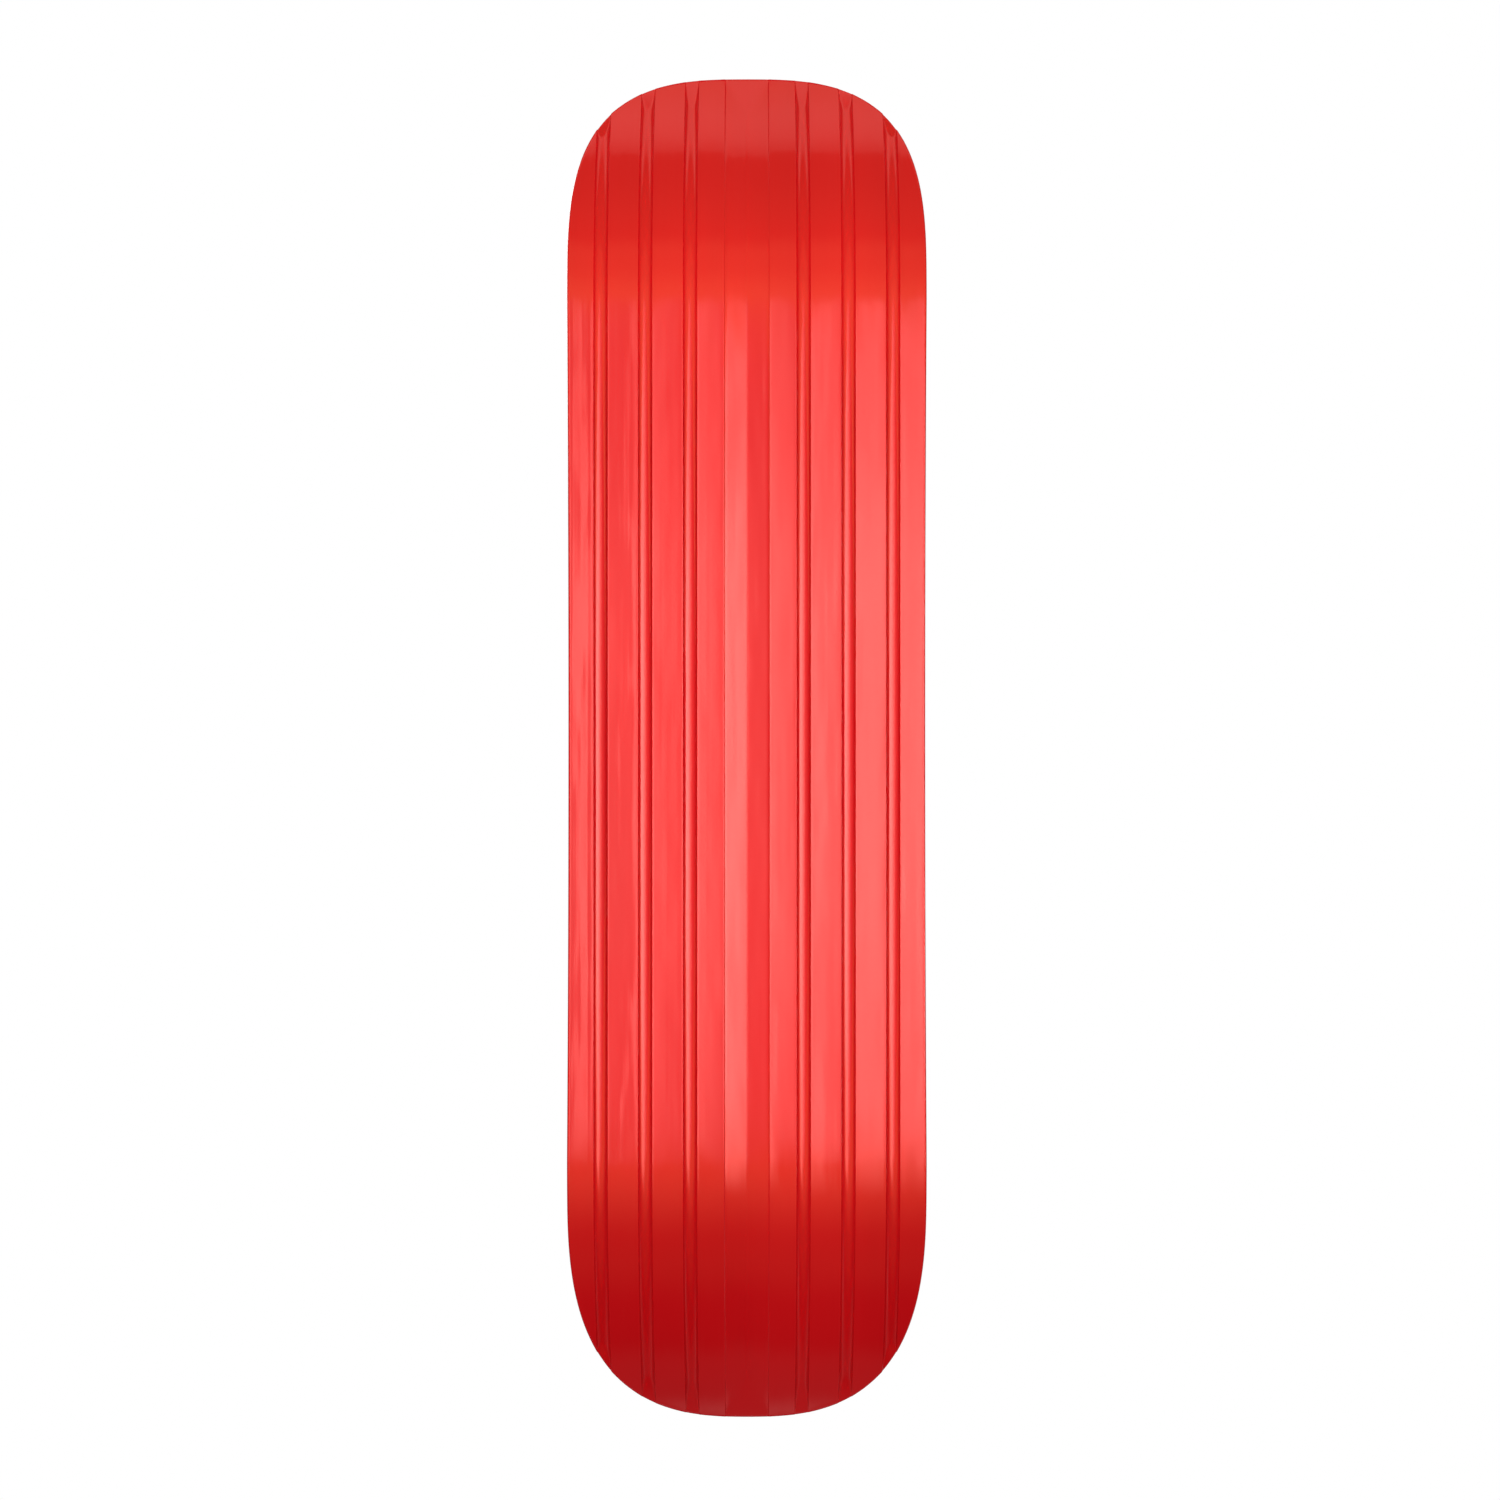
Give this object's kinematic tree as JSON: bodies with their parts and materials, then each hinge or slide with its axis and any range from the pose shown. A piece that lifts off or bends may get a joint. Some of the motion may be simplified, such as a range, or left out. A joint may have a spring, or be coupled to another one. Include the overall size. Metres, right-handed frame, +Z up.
{
  "type": "snowskate",
  "caption": "Narrow ride board with upturned nose and tail, a gently concave deck, foam traction pads on top and a glossy base with lengthwise channels.",
  "frame": {"origin": "halfway between the nose and tail tips, on the board's centre line, at the height of the level middle of the running base, which the board stands on", "axes": "+X along the board towards the nose, +Y across the board to its left-hand side when facing the nose, +Z up from the running base to the deck"},
  "size_m": [0.8366, 0.216, 0.0631],
  "materials": {
    "base_plastic": "gloss, polished",
    "core_plastic": "fine moulded texture",
    "pad_foam": "closed-cell foam, matte",
    "adhesive_film": "matte film"
  },
  "bodies": {
    "root": {"running_base": "base_plastic", "deck_core": "core_plastic", "rear_pad": "pad_foam", "centre_pad": "pad_foam", "front_pad": "pad_foam", "nose_pad": "pad_foam", "tail_pad": "pad_foam", "rear_pad_adhesive": "adhesive_film", "centre_pad_adhesive": "adhesive_film", "front_pad_adhesive": "adhesive_film", "nose_pad_adhesive": "adhesive_film", "tail_pad_adhesive": "adhesive_film"}
  },
  "joints": []
}
